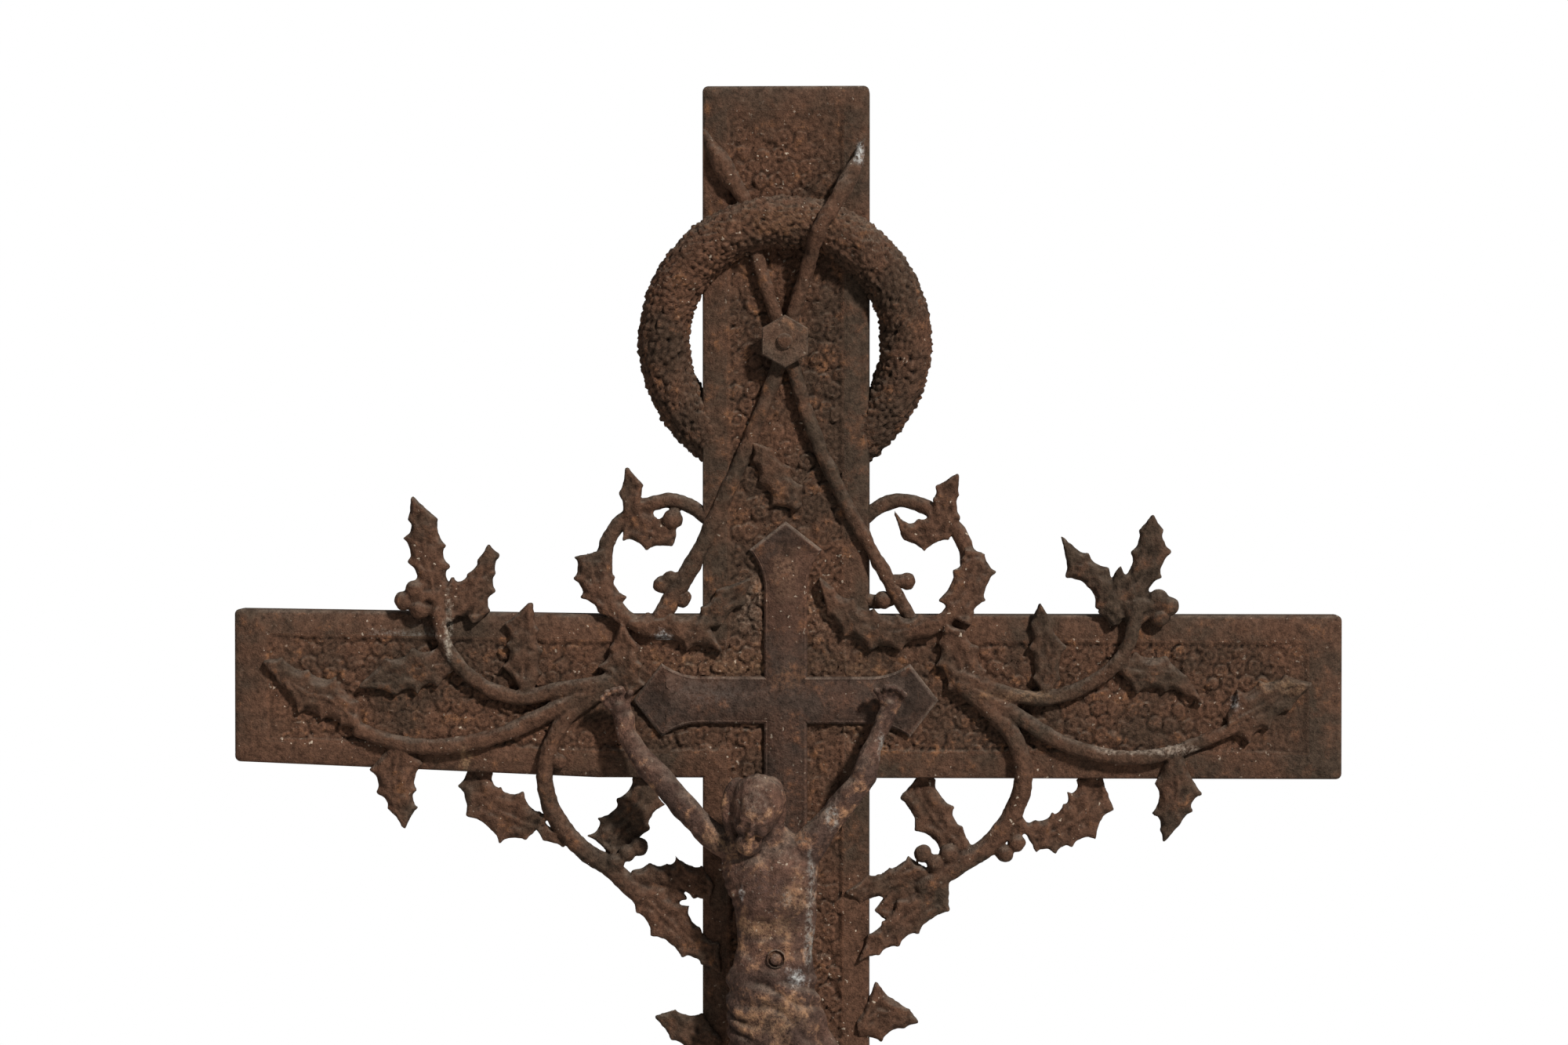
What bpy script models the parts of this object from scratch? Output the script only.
"""A cast-iron crucifix with holly sprays, a crown of thorns, a lance and a reed, on a low stepped plinth.

Metres, +Z up. The front faces -Y. The origin is the middle of the plinth's underside.
"""

import math
from typing import NamedTuple

import bmesh
import bpy
from mathutils import Matrix, Vector

MM = 0.001

# Cross plate: the shaft and the beam, one casting
BEAM_SPAN = 0.705
BEAM_HEIGHT = 0.104
SHAFT_WIDTH = 0.106
TOP_REACH = 0.388
FOOT_REACH = 0.730
PLATE_DEPTH = 0.028
CORNER_RADIUS = 0.0035
BORDER_WIDTH = 0.0165
END_BORDER_SHARE = 1.33
BORDER_FALL = 0.0035
PANEL_SINK = 0.0025
PANEL_STEP = 0.0012
PANEL_FOOT_GAP = 0.030
BACK_RIM = 0.011
BACK_SINK = 0.012
BACK_DRAFT = 0.003
LEFT_ARM_RISE = 0.0065
LEFT_ARM_TAPER = 0.0065
LEFT_ARM_BEND = 0.120

# Smaller cross in relief on the panel
INNER_BAR_WIDTH = 0.0275
INNER_BEAM_HEIGHT = 0.030
INNER_BEAM_DROP = 0.0022
INNER_SIDE_REACH = 0.097
INNER_TOP_REACH = 0.1115
INNER_FOOT_REACH = 0.430
INNER_FLARE_WIDTH = 0.0465
INNER_FLARE_LENGTH = 0.026
INNER_POINT_LENGTH = 0.018
INNER_RELIEF = 0.0045
INNER_EDGE = 0.0016

# Crown of thorns: a ring that crosses the shaft's front above and passes behind it below
CROWN_SPOT = (0, 225.5)
CROWN_RADIUS = 0.077
CROWN_TUBE_RADIUS = 0.0165
CROWN_SWING = 0.0125
CROWN_FORWARD = 0.006
CROWN_KNOB = 0.0009

# Lance and reed, which cross at the crown's middle
POLE_SEAT_RADIUS = 0.0115
POLE_SEAT_PROUD = 0.0105

# Hexagonal plate and rivet at the crossing
HEX_FLATS = 0.029
HEX_THICKNESS = 0.0045
RIVET_SHANK_RADIUS = 0.0040
RIVET_HEAD_RADIUS = 0.0052
RIVET_HEAD_HEIGHT = 0.0032
RIVET_TAIL_RADIUS = 0.0075

# Figure's bolt
BOLT_SPOT = (-4.5, -162)
BOLT_SHANK_RADIUS = 0.0035
BOLT_HEAD_RADIUS = 0.0062
BOLT_HEAD_HEIGHT = 0.0030
BOLT_KNOB_RADIUS = 0.0035
BOLT_SEAT_PROUD = 0.0405
BOLT_NUT_FLATS = 0.013
BOLT_NUT_THICKNESS = 0.0065

# Plinth
PLINTH_STEPS = ((0.260, 0.180, 0.026), (0.216, 0.138, 0.026), (0.168, 0.092, 0.030))
PLINTH_BEVEL = 0.004
SOCKET_DEPTH = 0.016

# Fits
TOUCH_GAP = 0.0003
HOLE_CLEARANCE = 0.0003

# The foliage and the figure are drawn in millimetres on a cross of these half sizes
DRAWN_HALF_SPAN = 352.5
DRAWN_HALF_SHAFT = 53.0
DRAWN_HALF_BEAM = 52.0

# Facets
STEM_SIDES = 5
LIMB_SIDES = 7
LEAF_THICKNESS = 5.5
LEAF_RIDGE = 2.2
LEAF_SEAT = 4.5
LEAF_STUB = 0.12
LEAF_SCOOP = 0.30
LEAF_POINT = 0.03
FLAT_FACET_ANGLE = 5.0
FIGURE_FACET_ANGLE = 11.0

half_span = BEAM_SPAN / 2
half_beam = BEAM_HEIGHT / 2
half_shaft = SHAFT_WIDTH / 2
half_depth = PLATE_DEPTH / 2
plinth_height = sum(step[2] for step in PLINTH_STEPS)
beam_z = plinth_height - SOCKET_DEPTH + FOOT_REACH
front_y = -half_depth


class Leaf(NamedTuple):
    """One holly leaf: its root, its tip, how proud these lie, and the spines down its two sides."""

    root: tuple
    tip: tuple
    proud: tuple
    one_side: tuple
    other_side: tuple


class Stem(NamedTuple):
    """One stem: (x, z, proud) points, its radius at both ends, and the facets from point to point."""

    points: tuple
    radii: tuple
    steps: int = 2


# Stems and poles, in drawn millimetres from the beam's middle
STEMS_LEFT = (
    Stem(
        (
            (-112, 10, 3), (-143, 4, 3), (-165, -2, 3), (-184, 1, 3), (-203, 13, 4), (-216, 31, 5),
            (-221, 52, 6),
        ),
        (4.6, 4.0),
        1,
    ),
    Stem(
        (
            (-112, 8, 3), (-143, -7, 3), (-175, -24, 3), (-212, -35, 3), (-245, -35, 3), (-270, -27, 3),
        ),
        (5.4, 4.2),
        1,
    ),
    Stem(
        (
            (-116, 4, 3), (-140, -15, 3), (-153, -45, 2), (-150, -72, -5), (-134, -95, -7),
            (-112, -110, -7), (-93, -127, -6),
        ),
        (4.8, 6.0),
        1,
    ),
    Stem(
        (
            (-76, 43, 0), (-93, 45, 3), (-113, 64, -1), (-114, 97, -6), (-98, 117, -7),
            (-76, 124.5, -8), (-61, 121, -8), (-49, 112, -8),
        ),
        (5.0, 4.4),
    ),
)
STEMS_RIGHT = (
    Stem(
        (
            (112, 14, 3), (136, 4, 3), (160, -1, 3), (182, 4, 3), (204, 16, 4), (218, 36, 5),
            (222, 56, 6),
        ),
        (4.6, 4.0),
        1,
    ),
    Stem(
        (
            (112, 8, 3), (143, -9, 3), (176, -29, 3), (213, -38, 3), (246, -34, 3), (289, -17, 3),
        ),
        (5.4, 3.6),
        1,
    ),
    Stem(
        (
            (116, 4, 3), (142, -21, 3), (151, -48, 1), (145, -73, -5), (129, -95, -7), (108, -108, -7),
            (89, -121, -6),
        ),
        (5.2, 6.6),
        1,
    ),
    Stem(
        (
            (76, 43, 0), (93, 45, 3), (112, 62, -1), (115, 93, -6), (100, 114, -7), (76, 124.5, -8),
            (60, 121, -8), (49, 113, -8),
        ),
        (5.0, 4.4),
    ),
)
STALKS = (
    Stem(((-88, 119, -7), (-84, 110, -6), (-73, 113, -5)), (2.6, 2.4), 1),
    Stem(((142, -78, -5), (146, -92, -5), (140, -99, -5)), (2.6, 2.4), 1),
    Stem(((-150, -34, 3), (-144, -42, 3)), (2.6, 2.4), 1),
    Stem(((66, 74, -1), (77, 73.2, -2)), (4.2, 4.4), 1),
    Stem(((-65, 77, -2), (-73, 75, -1), (-79, 71, -2)), (3.2, 3.0), 1),
    Stem(((-74, 63, -2), (-66, 62.5, -3)), (3.2, 3.4), 1),
    Stem(((50, 62, -8), (58, 60, -7), (70, 62, -3)), (5.0, 3.6), 1),
    Stem(((-218, 48, 5), (-231, 57, 4), (-243, 60, 3)), (2.8, 2.6), 1),
    Stem(((-229, 53, 4), (-237, 67, 4)), (3.2, 3.0), 1),
    Stem(((220, 46, 5), (231, 54, 4), (244, 59, 3)), (2.8, 2.6), 1),
    Stem(((-113, -110, -6), (-101, -100, -3), (-93, -96, -4)), (2.8, 2.6), 1),
    Stem(((110, -104, -6), (96, -104, -4), (86, -100, -4)), (2.8, 2.6), 1),
)
LANCE = Stem(
    (
        (-50, 355, -1), (-26, 313, 3), (-13, 262, 3), (0, 225, 3), (21, 160, 3), (51.5, 99, 1),
        (81.5, 46, -1),
    ),
    (5.2, 4.2),
    1,
)
SPEARHEAD = Stem(((-52, 360, -2), (-42, 341, 1), (-34, 327, 3)), (1.0, 7.5), 1)
REED = Stem(
    (
        (50, 353, 5), (42, 331, 12), (31, 311, 21), (22, 296, 23), (14, 272, 11), (6, 246, 5),
        (0, 225, 5), (-14, 184, 2), (-53, 96, -2), (-83, 45, -1),
    ),
    (3.2, 5.6),
    1,
)

LEAVES_LEFT = (
    Leaf(
        (-218.5, 48), (-238, 125.3), (5, 3),
        ((-235, 72), (-241.3, 83.7), (-243.5, 99), (-240, 111)),
        ((-213.5, 69), (-214.2, 81), (-216, 94.3), (-221.8, 111.5)),
    ),
    Leaf(
        (-208, 50), (-189, 95.7), (4, 1),
        ((-210.5, 71.5), (-203, 76.5), (-197, 85)),
        ((-184.2, 66), (-184.8, 77.3), (-182.5, 89)),
    ),
    Leaf(
        (-70, 103), (-101, 145.3), (-5, -3),
        ((-72, 94.8), (-89, 92.7), (-104, 99), (-106, 129.3)),
        ((-71, 109), (-82.7, 114.8), (-90.7, 124), (-90.2, 134.8)),
    ),
    Leaf(
        (-116, 93), (-104, 46), (-3, 4),
        ((-134.7, 88.5), (-135.5, 74.7), (-130.5, 62.7), (-119, 54)),
        ((-113.8, 87.3), (-108.5, 76), (-101.3, 63), (-100.5, 53)),
    ),
    Leaf(
        (-209.3, 19.8), (-271.3, 2.3), (3, 2),
        ((-221.5, 3.5), (-234, -1), (-248, -2.5)),
        ((-221, 30), (-238, 28), (-255, 21)),
    ),
    Leaf(
        (-272, -25), (-333.5, 17), (4, 2),
        ((-283.5, -25), (-296, -21), (-310.5, -17), (-323, 2)),
        ((-272, -8), (-287, 8), (-305, 12), (-322, 20)),
    ),
    Leaf(
        (-245, -31), (-243.3, -89.5), (3, -1),
        ((-266, -53.5), (-261.5, -67.7), (-254.5, -77.5)),
        ((-231, -48), (-235.5, -65), (-235, -76)),
    ),
    Leaf(
        (-153, -80), (-199, -45), (-8, -14),
        ((-166.8, -95.2), (-183.5, -98), (-205.2, -81), (-210.7, -62.3)),
        ((-157, -76), (-168, -63), (-182, -61.5), (-187, -52.5)),
    ),
    Leaf(
        (-139.3, -95.2), (-159, -87), (-8, -8),
        ((-142.7, -98.5), (-154.8, -94.5)),
        ((-144, -88), (-153.5, -83.5)),
    ),
    Leaf(
        (-107.7, -103), (-90, -46), (-8, -16),
        ((-128, -89.5), (-120.7, -78.8), (-108.8, -67), (-99, -53)),
        ((-92.7, -99.3), (-86.8, -85.7), (-77.3, -70), (-82, -54)),
    ),
    Leaf(
        (-99, -116), (-45.5, -120), (-6, 0),
        ((-87, -106.5), (-76.5, -107), (-70.5, -101.3), (-53.5, -107.5)),
        ((-81, -123), (-69, -125), (-58, -129.5), (-48, -135)),
    ),
    Leaf(
        (-101, -118), (-41, -176), (-6, 0),
        ((-95.5, -138.5), (-86.7, -152.8), (-66, -166), (-54, -171)),
        ((-78, -124), (-61.5, -133.5), (-54.5, -147), (-42, -157)),
    ),
    Leaf(
        (-42, -222), (-83.2, -204.5), (0, -5),
        ((-62, -230), (-72.5, -219.5)),
        ((-53, -201), (-70.5, -199.5)),
    ),
    Leaf(
        (-99, 47), (-39.8, 28.4), (5, 3),
        ((-87, 39.5), (-74, 36.5), (-63, 28.5), (-50, 32.5)),
        ((-88, 53), (-73, 53), (-57, 53), (-47, 42)),
    ),
    Leaf(
        (-56, 42), (-22, 75), (2, 2),
        ((-54, 57), (-44, 68)),
        ((-40, 46), (-26, 59)),
    ),
    Leaf(
        (-101, 0), (-104, 46), (3, 4),
        ((-114, 8), (-119, 19), (-112, 31)),
        ((-89, 8), (-91, 20), (-91.5, 31)),
    ),
    Leaf(
        (-165, 1), (-162.2, 59), (2, 3),
        ((-180, 18), (-177.5, 32), (-179, 45.5)),
        ((-155, 14), (-154.5, 28), (-157, 41)),
    ),
)
LEAVES_RIGHT = (
    Leaf(
        (219, 47), (232.7, 116), (5, 3),
        ((210.5, 60), (212.3, 74.8), (219.3, 92), (223.7, 105.7)),
        ((230.3, 66), (238.2, 76.3), (244.8, 92.3), (239.3, 106)),
    ),
    Leaf(
        (213, 50), (174.8, 102), (4, 2),
        ((196.5, 57), (191, 70), (177.3, 76), (177.6, 90)),
        ((212.3, 67.3), (204.8, 82.3), (192, 91.5), (181, 97)),
    ),
    Leaf(
        (210, 21), (265, -4), (3, 1),
        ((222.7, 2.5), (240.7, 4), (254.3, 0.5)),
        ((222, 29), (241.5, 27), (254, 14)),
    ),
    Leaf(
        (280, -17), (333, 9), (4, 2),
        ((294, -29), (306, -20), (319, -8)),
        ((286, 5), (300, 11), (316, 15)),
    ),
    Leaf(
        (245.7, -31), (239.3, -92.3), (3, -1),
        ((234, -55), (232.7, -73.7), (237.8, -84.5)),
        ((263.7, -61.3), (258.7, -71.8), (250.7, -80.2)),
    ),
    Leaf(
        (150.7, -82.7), (199, -46), (-8, -14),
        ((159.3, -99), (171.3, -100.5), (182.3, -97), (197.3, -91.5), (209, -72.3)),
        ((159, -78.7), (169.3, -73.2), (176.3, -67.5), (179, -60.7), (185.5, -53)),
    ),
    Leaf(
        (117.3, -99), (88, -46), (-8, -16),
        ((99, -98.5), (81.7, -86), (72.3, -65.3)),
        ((112.7, -82.3), (107.3, -70.5), (95, -53)),
    ),
    Leaf(
        (90, -112), (38, -124.5), (-6, 0),
        ((78, -101.3), (66, -109.5), (52, -113)),
        ((76, -123), (62, -128), (47, -133)),
    ),
    Leaf(
        (102, -112), (47, -167.5), (-6, 0),
        ((104.5, -136.7), (84.5, -151), (72.2, -159), (60, -163.8)),
        ((84, -120), (71, -130), (61, -143), (52, -151)),
    ),
    Leaf(
        (46, -212), (84.5, -207.5), (0, -5),
        ((57.5, -181), (79, -198.5)),
        ((61, -221), (76, -211)),
    ),
    Leaf(
        (115.7, 94), (117.3, 46), (-3, 4),
        ((126.8, 91.2), (134, 79.2), (127.2, 61.2), (120, 53)),
        ((111, 87.3), (105.7, 80.5), (96.7, 61.2), (102.3, 52)),
    ),
    Leaf(
        (69, 117), (109.5, 141.7), (-5, -3),
        ((75, 99.3), (88.3, 92), (104, 99.5), (110.7, 112.8), (110.3, 127.7)),
        ((76, 111.5), (84, 113.5), (90.5, 117), (93.2, 126.5), (94.3, 134)),
    ),
    Leaf(
        (96, 48), (21.5, 75.5), (5, 3),
        ((85, 37.5), (73, 29.5), (54, 30), (37, 38.5), (26.5, 52)),
        ((85, 53), (71, 53), (56, 56), (43, 63), (30.3, 69)),
    ),
    Leaf(
        (117.3, 0), (101.5, 46), (3, 4),
        ((102, 5), (95.3, 20), (97, 34)),
        ((127.3, 17), (123, 32), (114, 42)),
    ),
    Leaf(
        (164, 2), (161.2, 60.3), (2, 3),
        ((157, 12), (154, 32), (155, 46)),
        ((174, 12), (177.7, 32), (168.5, 49)),
    ),
)
LEAVES_SHAFT = (
    Leaf(
        (8, 120), (-21, 162), (2, 2),
        ((-9, 122), (-17, 136), (-21, 150)),
        ((11, 134), (3, 146), (-8, 158)),
    ),
)

# Berries, as (x, z, proud, radius)
BERRIES = (
    (-243, 59, 3, 5.6), (-236, 66, 4, 5.4), (-233, 54, 4, 5.6), (-72, 113, -4, 5.6), (-79, 71, -2, 4.6),
    (-73, 75, -1, 4.3), (-66, 62.5, -3, 5.2), (-94, -96, -5, 5.0), (-101, -100, -3, 4.8),
    (-108, -106, -3, 4.8), (-144, -42, 3, 4.2), (236, 63, 3, 5.4), (243, 58, 3, 5.2), (237, 51, 4, 5.2),
    (77.3, 73.2, -2, 4.7), (62, 61.5, -3, 5.0), (87, -100, -4, 4.8), (95, -106, -3, 4.8),
    (147, -93, -5, 4.8), (139, -100, -5, 4.8),
)

# The figure, as (x, z, proud, half width, half depth) sections from the crotch up to the neck
TORSO = (
    (-8, -204.5, 27, 20, 12), (-7.5, -192.5, 27, 27.5, 17), (-8, -176.5, 27, 26.5, 17.5),
    (-7, -165, 27, 25, 14.5), (-5, -155, 27, 22.5, 13.5), (-4, -145, 27, 22.5, 13.5),
    (-5.5, -131, 28, 26.5, 17), (-8, -117, 28, 29, 19), (-9, -102.5, 27, 30.5, 17.5),
    (-8, -91.5, 26, 26, 14), (-10, -83.5, 27, 15, 11), (-13, -75.5, 31, 10, 9),
)
LOINCLOTH = (
    (-5.5, -222.5, 28, 28, 17), (-5, -218.5, 28, 30, 20), (-6, -202.5, 28, 29.5, 20),
    (-7.5, -187, 28, 28.5, 19), (-8, -175, 27, 28, 18), (-8, -169.5, 27, 26.5, 15),
)
ARM_LEFT = (
    (-29, -93.5, 27, 11.5), (-46.5, -85, 26, 8.8), (-68.5, -62, 25, 8.2), (-82.5, -47, 22, 8.0),
    (-89, -40, 20, 7.2), (-94, -32.5, 18, 6.2), (-100, -23.5, 16, 6.2), (-102, -13, 14, 6.6),
)
ARM_RIGHT = (
    (13, -95, 27, 11.5), (20, -86, 27, 10.2), (30, -74, 26, 8.4), (47, -54, 25, 7.8),
    (50.5, -46, 24, 8.0), (54.5, -34, 21, 6.4), (59, -23, 18, 5.6), (65, -9, 14, 6.2),
)
LEG_LEFT = (
    (-20, -196.5, 27, 14), (-20, -231, 31, 13.5), (-15, -267, 36, 10.5), (-14, -278, 34, 10),
    (-12, -302, 28, 10.5), (-9, -338, 21, 6.2), (-8, -352, 20, 6.5), (-7, -368, 24, 6),
)
LEG_RIGHT = (
    (5, -196.5, 27, 14), (7, -231, 31, 13.5), (5, -264, 38, 10.5), (4, -274, 37, 10), (1, -300, 33, 10.5),
    (-5, -332, 30, 6.4), (-6, -346, 31, 6.8), (-4, -366, 35, 6),
)
HEAD = (-17.5, -70, 42)
HEAD_RADII = (14.5, 17.0, 20.0)
HEAD_NOD = 32.0
HEAD_LEAN = 12.0
HAIR_LOCKS = (
    ((-29.5, -55, 38, 6.5), (-34, -64, 38, 5.2), (-34, -76.5, 37, 4.5), (-31, -89.5, 37, 3.2)),
    ((-7.5, -55, 37, 6.5), (-3, -63, 35, 5.5), (0, -71, 33, 4.5), (3.5, -79, 31, 3.2)),
)


def clear_scene():
    for obj in list(bpy.data.objects):
        bpy.data.objects.remove(obj)


def iron(name, colour, roughness):
    material = bpy.data.materials.new(name)
    material.use_nodes = True
    shader = material.node_tree.nodes["Principled BSDF"]
    shader.inputs["Base Color"].default_value = (*colour, 1.0)
    shader.inputs["Roughness"].default_value = roughness
    shader.inputs["Metallic"].default_value = 0.35
    return material


def add_mesh(name, vertices, faces, material=None, smooth=False):
    mesh = bpy.data.meshes.new(name)
    mesh.from_pydata([tuple(v) for v in vertices], [], faces)
    solid = bmesh.new()
    solid.from_mesh(mesh)
    bmesh.ops.recalc_face_normals(solid, faces=solid.faces)
    solid.to_mesh(mesh)
    solid.free()
    if smooth:
        mesh.shade_smooth()
        mesh.set_sharp_from_angle(angle=math.radians(45))
    obj = bpy.data.objects.new(name, mesh)
    bpy.context.scene.collection.objects.link(obj)
    if material:
        mesh.materials.append(material)
    return obj


def operand_group(name, objects):
    """The objects as hidden operands of a Boolean, in a collection of their own."""
    group = bpy.data.collections.new(name)
    bpy.context.scene.collection.children.link(group)
    for obj in objects:
        bpy.context.scene.collection.objects.unlink(obj)
        group.objects.link(obj)
        obj.hide_render = True
        obj.display_type = "WIRE"
    return group


def combine(obj, name, objects, operation):
    modifier = obj.modifiers.new(name, "BOOLEAN")
    modifier.operation = operation
    modifier.operand_type = "COLLECTION"
    modifier.solver = "EXACT"
    modifier.collection = operand_group(f"{obj.name}_{name}", objects)


def merge_flat_facets(obj, degrees):
    """Neighbouring facets that lie almost in one plane become one."""
    modifier = obj.modifiers.new("flat_facets", "DECIMATE")
    modifier.decimate_type = "DISSOLVE"
    modifier.angle_limit = math.radians(degrees)


def left_arm_shift(x, z):
    """The left arm was cast a little slimmer and higher towards its end."""
    share = (-x - LEFT_ARM_BEND) / (half_span - LEFT_ARM_BEND)
    share = min(max(share, 0.0), 1.0)
    near_beam = min(abs(z), half_beam) * math.copysign(1.0, z)
    return share * (LEFT_ARM_RISE - LEFT_ARM_TAPER * near_beam / BEAM_HEIGHT)


def place(x, z, proud=0.0):
    """A drawn point in millimetres as a point in metres, kept on the beam and shaft if these change size."""
    across = abs(x)
    if across <= DRAWN_HALF_SHAFT:
        real_x = across * half_shaft / DRAWN_HALF_SHAFT
    else:
        arm_scale = (half_span - half_shaft) / (DRAWN_HALF_SPAN - DRAWN_HALF_SHAFT)
        real_x = half_shaft + (across - DRAWN_HALF_SHAFT) * arm_scale
    real_x = math.copysign(real_x, x)
    upright = abs(z)
    if upright <= DRAWN_HALF_BEAM:
        real_z = upright * half_beam / DRAWN_HALF_BEAM
    else:
        real_z = half_beam + (upright - DRAWN_HALF_BEAM) * MM
    real_z = math.copysign(real_z, z)
    return Vector((real_x, front_y - proud * MM, beam_z + real_z + left_arm_shift(real_x, real_z)))


def loft(rings, closed=False):
    """Vertices and faces of rings of equal count, joined in order, with capped ends unless closed."""
    count = len(rings[0])
    vertices = [point for ring in rings for point in ring]
    faces = []
    spans = len(rings) if closed else len(rings) - 1
    for i in range(spans):
        low, high = i * count, (i + 1) % len(rings) * count
        for j in range(count):
            k = (j + 1) % count
            faces.append((low + j, low + k, high + k, high + j))
    if not closed:
        faces.append(tuple(range(count)))
        faces.append(tuple(range(len(vertices) - count, len(vertices))))
    return vertices, faces


def curve_through(values, steps):
    """Catmull-Rom points through rows of numbers, with steps points on each span."""
    rows = [Vector(v) for v in values]
    rows = [rows[0] * 2 - rows[1]] + rows + [rows[-1] * 2 - rows[-2]]
    made = []
    for a, b, c, d in zip(rows, rows[1:], rows[2:], rows[3:]):
        for step in range(steps):
            t = step / steps
            made.append(
                0.5
                * (2 * b + (c - a) * t + (2 * a - 5 * b + 4 * c - d) * t**2 + (3 * b - a - 3 * c + d) * t**3)
            )
    made.append(rows[-2])
    return made


def tube_rings(centres, radii, sides):
    rings = []
    for i, centre in enumerate(centres):
        before, after = centres[max(i - 1, 0)], centres[min(i + 1, len(centres) - 1)]
        along = (after - before).normalized()
        side = along.cross(Vector((0, 1, 0))).normalized()
        out = side.cross(along)
        rings.append(
            [
                centre + radii[i] * (side * math.cos(a) + out * math.sin(a))
                for a in (2 * math.pi * (k + 0.5) / sides for k in range(sides))
            ]
        )
    return rings


def stem_solid(name, stem, sides=STEM_SIDES):
    points = [place(*p) for p in curve_through(stem.points, stem.steps)]
    first, last = stem.radii
    radii = [(first + (last - first) * i / (len(points) - 1)) * MM for i in range(len(points))]
    return add_mesh(name, *loft(tube_rings(points, radii, sides)))


def leaf_stops(leaf):
    """Pairs of opposite edge points from root to tip: the spines, with a scooped pair between two of them."""
    spines = [(Vector(a), Vector(b)) for a, b in zip(leaf.one_side, leaf.other_side)]
    root, tip = Vector(leaf.root), Vector(leaf.tip)
    stub = (spines[0][0] - spines[0][1]) * LEAF_STUB
    stops = [(root + stub, root - stub)]
    for last, here in zip([None, *spines], spines):
        if last:
            one, other = (last[0] + here[0]) / 2, (last[1] + here[1]) / 2
            middle = (one + other) / 2
            stops.append((one.lerp(middle, LEAF_SCOOP), other.lerp(middle, LEAF_SCOOP)))
        stops.append(here)
    point = (spines[-1][0] - spines[-1][1]) * LEAF_POINT
    return stops + [(tip + point, tip - point)]


def leaf_solid(name, leaf):
    """A holly leaf: spiny outline, with a raised midrib in front and a keel behind."""
    stops = leaf_stops(leaf)
    rings = []
    for i, (one, other) in enumerate(stops):
        proud = leaf.proud[0] + (leaf.proud[1] - leaf.proud[0]) * i / (len(stops) - 1)
        middle = (one + other) / 2
        behind = min(proud - LEAF_THICKNESS, -LEAF_SEAT)
        rings.append(
            [
                place(*one, proud),
                place(*middle, proud + LEAF_RIDGE),
                place(*other, proud),
                place(*middle, behind),
            ]
        )
    return add_mesh(name, *loft(rings))


def ball_solid(name, centre, radii, turn=None, rings=4, sides=5):
    """A sphere or ellipsoid of few facets."""
    turn = turn or Matrix.Identity(3)
    solid = bmesh.new()
    bmesh.ops.create_uvsphere(solid, u_segments=sides, v_segments=rings, radius=1.0)
    for vertex in solid.verts:
        x, y, z = vertex.co
        vertex.co = centre + turn @ Vector((x * radii[0], y * radii[1], z * radii[2]))
    mesh = bpy.data.meshes.new(name)
    solid.to_mesh(mesh)
    solid.free()
    obj = bpy.data.objects.new(name, mesh)
    bpy.context.scene.collection.objects.link(obj)
    return obj


def disc_solid(name, spot, spans, sides=20, turn=0.0):
    """A turned piece along Y at a drawn (x, z) spot: spans are (y, radius) pairs from front to back."""
    axis = place(*spot)
    rings = [
        [
            Vector((axis.x + r * math.cos(a), y, axis.z + r * math.sin(a)))
            for a in (turn + 2 * math.pi * k / sides for k in range(sides))
        ]
        for y, r in spans
    ]
    return add_mesh(name, *loft(rings))


def cross_corners(inset, foot_rise):
    """The cross's corners as (x, z, is an outer corner), anticlockwise from the foot, seen from the front."""
    w, b = half_shaft - inset, half_beam - inset
    s, t, f = half_span - inset * END_BORDER_SHARE, TOP_REACH - inset, FOOT_REACH - foot_rise
    bend = min(LEFT_ARM_BEND, s - inset)
    return (
        (w, -f, True), (w, -b, False), (s, -b, True), (s, b, True), (w, b, False), (w, t, True),
        (-w, t, True), (-w, b, False), (-bend, b, False), (-s, b, True), (-s, -b, True), (-bend, -b, False),
        (-w, -b, False), (-w, -f, True),
    )


def cross_loop(y, inset=0.0, foot_rise=0.0, radius=CORNER_RADIUS, arc_points=3):
    corners = cross_corners(inset, foot_rise)
    loop = []
    for i, (x, z, outer) in enumerate(corners):
        here = Vector((x, z))
        if not outer:
            loop.append(here)
            continue
        to_last = (Vector(corners[i - 1][:2]) - here).normalized()
        to_next = (Vector(corners[(i + 1) % len(corners)][:2]) - here).normalized()
        centre = here + radius * (to_last + to_next)
        for k in range(arc_points):
            a = math.pi / 2 * k / (arc_points - 1)
            loop.append(centre - radius * (to_next * math.cos(a) + to_last * math.sin(a)))
    return [Vector((p.x, y, beam_z + p.y + left_arm_shift(p.x, p.y))) for p in loop]


def plate_solid():
    """Shaft and beam: sloping border, sunk panel in front and a hollow behind."""
    panel_inset = BORDER_WIDTH + PANEL_STEP
    hollow_foot = SOCKET_DEPTH + BACK_RIM
    rings = [
        cross_loop(half_depth - BACK_SINK, BACK_RIM + BACK_DRAFT, hollow_foot + BACK_DRAFT, 0.001),
        cross_loop(half_depth, BACK_RIM, hollow_foot, 0.001),
        cross_loop(half_depth),
        cross_loop(front_y + BORDER_FALL),
        cross_loop(front_y, BORDER_WIDTH, PANEL_FOOT_GAP, 0.001),
        cross_loop(front_y + PANEL_SINK, panel_inset, PANEL_FOOT_GAP + PANEL_STEP, 0.001),
    ]
    return add_mesh("cross", *loft(rings))


def flare(reach, half_bar, inset):
    """One end of the inner cross along +x: (along, across) points on one side, from the bar to the tip."""
    corner = reach - INNER_POINT_LENGTH
    half_flare = INNER_FLARE_WIDTH / 2
    start = corner - INNER_FLARE_LENGTH
    widen = half_flare - half_bar
    points = [
        (start + INNER_FLARE_LENGTH * t, half_bar + widen * t**2.2 - inset)
        for t in (0.0, 0.4, 0.7, 1.0)
    ]
    points[-1] = (corner - inset * 0.5, points[-1][1] - inset * 0.5)
    return points, (reach - inset * 1.6, 0.0)


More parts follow.
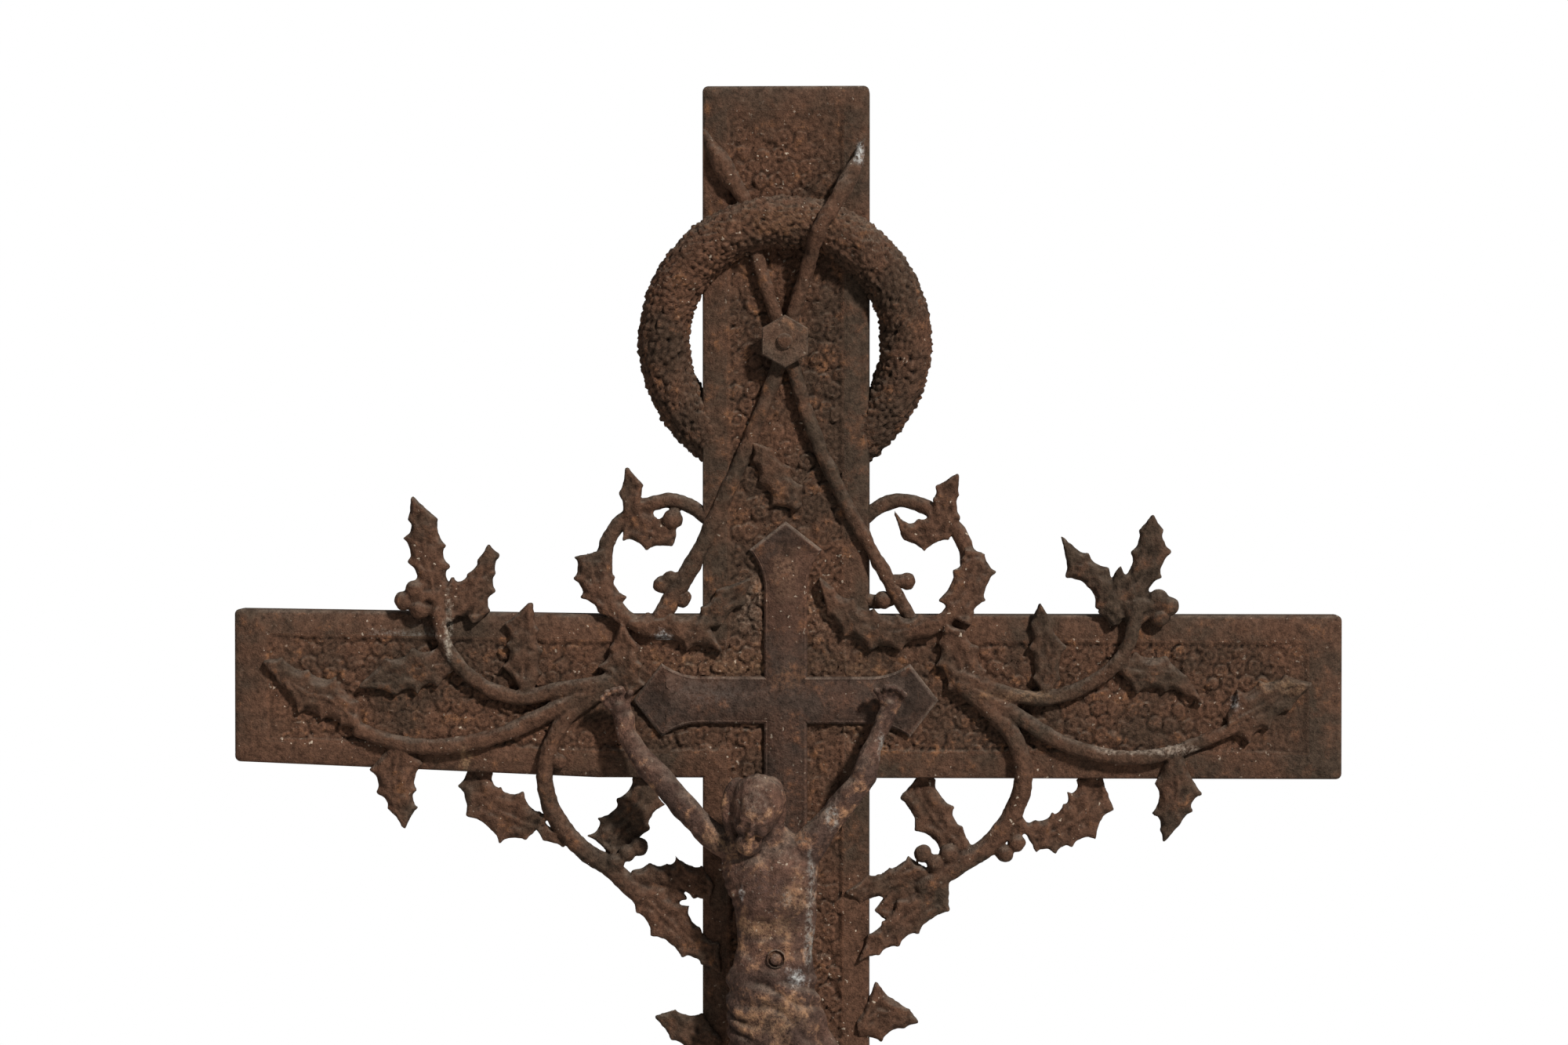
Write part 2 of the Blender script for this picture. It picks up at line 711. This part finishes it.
def inner_cross_loop(inset, y):
    """Outline of the smaller cross, anticlockwise from its right arm."""
    arms = (
        (INNER_SIDE_REACH, INNER_BEAM_HEIGHT / 2, (1, 0)),
        (INNER_TOP_REACH + INNER_BEAM_DROP, INNER_BAR_WIDTH / 2, (0, 1)),
        (INNER_SIDE_REACH, INNER_BEAM_HEIGHT / 2, (-1, 0)),
        (INNER_FOOT_REACH - INNER_BEAM_DROP, INNER_BAR_WIDTH / 2, (0, -1)),
    )
    loop = []
    middle_z = beam_z - INNER_BEAM_DROP
    for k, (reach, half_bar, (dx, dz)) in enumerate(arms):
        side, tip = flare(reach, half_bar, inset)
        across = [(a, -w) for a, w in side] + [tip] + [(a, w) for a, w in reversed(side)]
        loop += [Vector((a * dx - w * dz, y, middle_z + a * dz + w * dx)) for a, w in across]
        next_half = arms[(k + 1) % 4][1] - inset
        own_half = half_bar - inset
        along, over = (next_half, own_half)
        loop.append(Vector((along * dx - over * dz, y, middle_z + along * dz + over * dx)))
    return loop


def inner_cross_solid():
    top = front_y - INNER_RELIEF
    rings = [
        inner_cross_loop(0.0, front_y + PANEL_SINK + PANEL_SINK),
        inner_cross_loop(0.0, top + INNER_EDGE),
        inner_cross_loop(INNER_EDGE, top),
    ]
    return add_mesh("inner_cross", *loft(rings))


def crown_solid(segments=28, sides=6):
    """The crown: a ring of bound thorns, tilted so that it lies on the shaft above and behind it below."""
    tilt = math.asin(CROWN_SWING / CROWN_RADIUS)
    turn = Matrix.Rotation(tilt, 3, "X")
    middle = place(*CROWN_SPOT)
    centre = Vector((middle.x, -CROWN_FORWARD, middle.z))
    rings = []
    for i in range(segments):
        around = 2 * math.pi * i / segments
        outward = Vector((math.cos(around), 0, math.sin(around)))
        ring = []
        for j in range(sides):
            about = 2 * math.pi * j / sides
            radius = CROWN_TUBE_RADIUS + CROWN_KNOB * math.cos(5 * around + 3 * about) - CROWN_KNOB / 2
            reach = CROWN_RADIUS + radius * math.cos(about)
            offset = outward * reach + Vector((0, radius * math.sin(about), 0))
            ring.append(centre + turn @ offset)
        rings.append(ring)
    return add_mesh("crown", *loft(rings, closed=True))


def cross_foliage():
    pieces = [stem_solid(f"stem_{i}", stem) for i, stem in enumerate(STEMS_LEFT + STEMS_RIGHT)]
    pieces += [stem_solid(f"stalk_{i}", stalk, 4) for i, stalk in enumerate(STALKS)]
    leaves = LEAVES_LEFT + LEAVES_RIGHT + LEAVES_SHAFT
    pieces += [leaf_solid(f"leaf_{i}", leaf) for i, leaf in enumerate(leaves)]
    for i, (x, z, proud, radius) in enumerate(BERRIES):
        pieces.append(ball_solid(f"berry_{i}", place(x, z, proud), (radius * MM,) * 3))
    return pieces


def build_cross(material):
    cross = plate_solid()
    cross.data.materials.append(material)
    pieces = [inner_cross_solid(), crown_solid()]
    pieces += [stem_solid("lance", LANCE), stem_solid("spearhead", SPEARHEAD), stem_solid("reed", REED)]
    pole_seat = ((front_y - POLE_SEAT_PROUD, POLE_SEAT_RADIUS), (front_y + half_depth, POLE_SEAT_RADIUS))
    pieces.append(disc_solid("pole_seat", CROWN_SPOT, pole_seat, 14))
    pieces += cross_foliage()
    combine(cross, "casting", pieces, "UNION")
    merge_flat_facets(cross, FLAT_FACET_ANGLE)
    rivet_bore, bolt_bore = RIVET_SHANK_RADIUS + HOLE_CLEARANCE, BOLT_SHANK_RADIUS + HOLE_CLEARANCE
    through = (front_y - 0.05, half_depth + 0.02)
    holes = [
        disc_solid("rivet_hole", CROWN_SPOT, [(y, rivet_bore) for y in through], 12),
        disc_solid("cross_bolt_hole", BOLT_SPOT, [(y, bolt_bore) for y in through], 12),
    ]
    combine(cross, "drilling", holes, "DIFFERENCE")
    return cross


def build_hex_plate(material):
    back = front_y - POLE_SEAT_PROUD - TOUCH_GAP
    corner = HEX_FLATS / 2 / math.cos(math.pi / 6)
    spans = ((back - HEX_THICKNESS, corner - 0.0008), (back - HEX_THICKNESS + 0.0008, corner), (back, corner))
    plate = disc_solid("hexagonal_plate", CROWN_SPOT, spans, 6, math.pi / 2)
    plate.data.materials.append(material)
    bore = RIVET_SHANK_RADIUS + HOLE_CLEARANCE
    hole = disc_solid("plate_hole", CROWN_SPOT, ((back - 0.02, bore), (back + 0.02, bore)), 12)
    combine(plate, "bore", [hole], "DIFFERENCE")
    return plate


def build_rivet(material):
    seat = front_y - POLE_SEAT_PROUD - TOUCH_GAP - HEX_THICKNESS - TOUCH_GAP
    tail = half_depth - BACK_SINK + TOUCH_GAP
    spans = (
        (seat - RIVET_HEAD_HEIGHT, RIVET_HEAD_RADIUS * 0.45),
        (seat - RIVET_HEAD_HEIGHT * 0.75, RIVET_HEAD_RADIUS * 0.8),
        (seat - RIVET_HEAD_HEIGHT * 0.3, RIVET_HEAD_RADIUS),
        (seat, RIVET_HEAD_RADIUS),
        (seat, RIVET_SHANK_RADIUS),
        (tail, RIVET_SHANK_RADIUS),
        (tail, RIVET_TAIL_RADIUS),
        (tail + 0.002, RIVET_TAIL_RADIUS),
        (tail + 0.0045, RIVET_TAIL_RADIUS * 0.55),
    )
    rivet = disc_solid("rivet", CROWN_SPOT, spans, 12)
    rivet.data.materials.append(material)
    return rivet


def section_rings(sections, sides, folds=0, fold_depth=0.0):
    """Level rings of an upright body from (x, z, proud, half width, half depth) rows."""
    rings = []
    for i, (x, z, proud, wide, deep) in enumerate(sections):
        centre = place(x, z, proud)
        ring = []
        for k in range(sides):
            a = 2 * math.pi * k / sides
            fold = 1 + fold_depth * math.cos(folds * a + 0.9 * i)
            ring.append(centre + Vector((wide * fold * math.cos(a), deep * fold * math.sin(a), 0)) * MM)
        rings.append(ring)
    return rings


def limb_solid(name, rows, steps=1, sides=LIMB_SIDES):
    rows = curve_through(rows, steps)
    centres = [place(*row[:3]) for row in rows]
    return add_mesh(name, *loft(tube_rings(centres, [row[3] * MM for row in rows], sides)))


def hand_pieces(name, palm, lean):
    """A half-closed hand: the palm, the fingers curled forward as one, and the thumb."""
    x, z, proud = palm
    turn = Matrix.Rotation(math.radians(lean), 3, "Y")
    lumps = (("palm", (0, 0, 0), (7.8, 4.6, 9.0)), ("fingers", (0, -4.5, 8.5), (6.8, 4.4, 5.2)))
    pieces = []
    for part_name, offset, radii in lumps:
        at = place(*palm) + turn @ (Vector(offset) * MM)
        pieces.append(ball_solid(f"{name}_{part_name}", at, Vector(radii) * MM, turn, 4, 7))
    thumb_side = 7.0 if x < 0 else -7.0
    thumb = []
    for up, out in ((-4, 1), (2, 4), (6, 6)):
        moved = turn @ Vector((thumb_side, 0, up))
        thumb.append((x + moved.x, z + moved.z, proud + out, 2.6))
    pieces.append(limb_solid(f"{name}_thumb", thumb, 1, 4))
    return pieces


def head_pieces():
    """The bowed head, turned as one: skull, nose, beard and a cap of hair."""
    centre = place(*HEAD)
    turn = Matrix.Rotation(math.radians(HEAD_LEAN), 3, "Y") @ Matrix.Rotation(math.radians(HEAD_NOD), 3, "X")
    lumps = (
        ("skull", (0, 0, 0), HEAD_RADII, 5, 9),
        ("hair", (0, 5, 4), (18.5, 15.5, 19.0), 5, 9),
        ("nose", (0, -16, -3), (2.8, 4.2, 5.0), 4, 6),
        ("beard", (0, -12, -17), (8.0, 7.5, 9.0), 5, 7),
    )
    pieces = []
    for name, offset, radii, rings, sides in lumps:
        at = centre + turn @ (Vector(offset) * MM)
        pieces.append(ball_solid(name, at, Vector(radii) * MM, turn, rings, sides))
    for i, lock in enumerate(HAIR_LOCKS):
        pieces.append(limb_solid(f"lock_{i}", lock, 1, 6))
    return pieces


def mounting_pads():
    """Pads behind the trunk, the right hand and the heels that reach back to the smaller cross."""
    pad_back = front_y - INNER_RELIEF - TOUCH_GAP
    spots = (
        ("bolt_pad", BOLT_SPOT, 26, 8.5),
        ("hand_pad", (65.5, -4), 13, 4.5),
        ("heel_pad", (-6, -352), 24, 5.5),
    )
    return [
        disc_solid(name, spot, ((front_y - proud * MM, radius * MM), (pad_back, radius * MM)), 10)
        for name, spot, proud, radius in spots
    ]


def build_corpus(material):
    """The figure, one casting: trunk, limbs, head and loincloth."""
    corpus = add_mesh("corpus", *loft(section_rings(TORSO, 12)))
    corpus.data.materials.append(material)
    cloth = add_mesh("loincloth", *loft(section_rings(LOINCLOTH, 16, 5, 0.035)))
    knot = [
        limb_solid("cloth_knot", ((12, -180, 30, 5), (17, -190, 30, 7), (18.5, -197, 29, 6)), 1, 6),
        limb_solid(
            "cloth_end",
            ((17, -191, 29, 6), (20, -202, 28, 7), (26, -219, 26, 8), (28.5, -236, 25, 6)),
            1,
            6,
        ),
    ]
    limbs = [
        limb_solid("arm_left", ARM_LEFT), limb_solid("arm_right", ARM_RIGHT),
        limb_solid("leg_left", LEG_LEFT), limb_solid("leg_right", LEG_RIGHT),
    ]
    hands = hand_pieces("hand_left", (-105, -6, 14), -28) + hand_pieces("hand_right", (66.5, -4, 14), 22)
    pieces = [cloth, *knot, *limbs, *hands, *head_pieces(), *mounting_pads()]
    combine(corpus, "casting", pieces, "UNION")
    merge_flat_facets(corpus, FIGURE_FACET_ANGLE)
    seat = front_y - BOLT_SEAT_PROUD
    before, behind = seat - 0.03, front_y + 0.01
    shank_bore, head_bore = BOLT_SHANK_RADIUS + HOLE_CLEARANCE, BOLT_HEAD_RADIUS + HOLE_CLEARANCE
    cutters = [
        disc_solid("corpus_bolt_hole", BOLT_SPOT, ((before, shank_bore), (behind, shank_bore)), 12),
        disc_solid("spot_face", BOLT_SPOT, ((before, head_bore), (seat, head_bore)), 16),
    ]
    combine(corpus, "drilling", cutters, "DIFFERENCE")
    return corpus


def build_corpus_bolt(material):
    seat = front_y - BOLT_SEAT_PROUD - TOUCH_GAP
    end = half_depth - BACK_SINK + TOUCH_GAP + BOLT_NUT_THICKNESS + 0.003
    spans = (
        (seat - BOLT_HEAD_HEIGHT - 0.0022, BOLT_KNOB_RADIUS * 0.6),
        (seat - BOLT_HEAD_HEIGHT - 0.0012, BOLT_KNOB_RADIUS),
        (seat - BOLT_HEAD_HEIGHT * 0.5, BOLT_KNOB_RADIUS),
        (seat - BOLT_HEAD_HEIGHT * 0.5, BOLT_HEAD_RADIUS * 0.8),
        (seat - BOLT_HEAD_HEIGHT, BOLT_HEAD_RADIUS * 0.9),
        (seat - BOLT_HEAD_HEIGHT * 0.6, BOLT_HEAD_RADIUS),
        (seat, BOLT_HEAD_RADIUS),
        (seat, BOLT_SHANK_RADIUS),
        (end, BOLT_SHANK_RADIUS),
    )
    bolt = disc_solid("corpus_bolt", BOLT_SPOT, spans, 12)
    bolt.data.materials.append(material)
    return bolt


def build_corpus_nut(material):
    start = half_depth - BACK_SINK + TOUCH_GAP
    corner = BOLT_NUT_FLATS / 2 / math.cos(math.pi / 6)
    end = start + BOLT_NUT_THICKNESS
    spans = ((start, corner), (end - 0.001, corner), (end, corner - 0.001))
    nut = disc_solid("corpus_nut", BOLT_SPOT, spans, 6)
    nut.data.materials.append(material)
    bore = BOLT_SHANK_RADIUS + HOLE_CLEARANCE
    hole = disc_solid("nut_hole", BOLT_SPOT, ((start - 0.01, bore), (start + 0.02, bore)), 12)
    combine(nut, "bore", [hole], "DIFFERENCE")
    return nut


def build_plinth(material):
    """Three square steps with bevelled edges and a socket for the shaft's foot."""
    rings = []
    z = 0.0
    for width, depth, height in PLINTH_STEPS:
        for level, inset in ((z, 0.0), (z + height - PLINTH_BEVEL, 0.0), (z + height, PLINTH_BEVEL)):
            w, d = width / 2 - inset, depth / 2 - inset
            rings.append([Vector((sx * w, sy * d, level)) for sx, sy in ((-1, -1), (1, -1), (1, 1), (-1, 1))])
        z += height
    plinth = add_mesh("plinth", *loft(rings))
    plinth.data.materials.append(material)
    w, d = half_shaft + TOUCH_GAP, half_depth + TOUCH_GAP
    floor = plinth_height - SOCKET_DEPTH - TOUCH_GAP
    socket = [
        [Vector((sx * w, sy * d, level)) for sx, sy in ((-1, -1), (1, -1), (1, 1), (-1, 1))]
        for level in (floor, plinth_height + 0.01)
    ]
    combine(plinth, "socket", [add_mesh("socket_cutter", *loft(socket))], "DIFFERENCE")
    return plinth


def main():
    clear_scene()
    rust = iron("rusted_iron", (0.085, 0.052, 0.038), 0.82)
    figure_rust = iron("figure_iron", (0.12, 0.070, 0.050), 0.80)
    hardware_rust = iron("hardware_iron", (0.10, 0.062, 0.046), 0.78)
    build_cross(rust)
    build_corpus(figure_rust)
    build_corpus_bolt(hardware_rust)
    build_corpus_nut(hardware_rust)
    build_hex_plate(hardware_rust)
    build_rivet(hardware_rust)
    build_plinth(rust)


main()
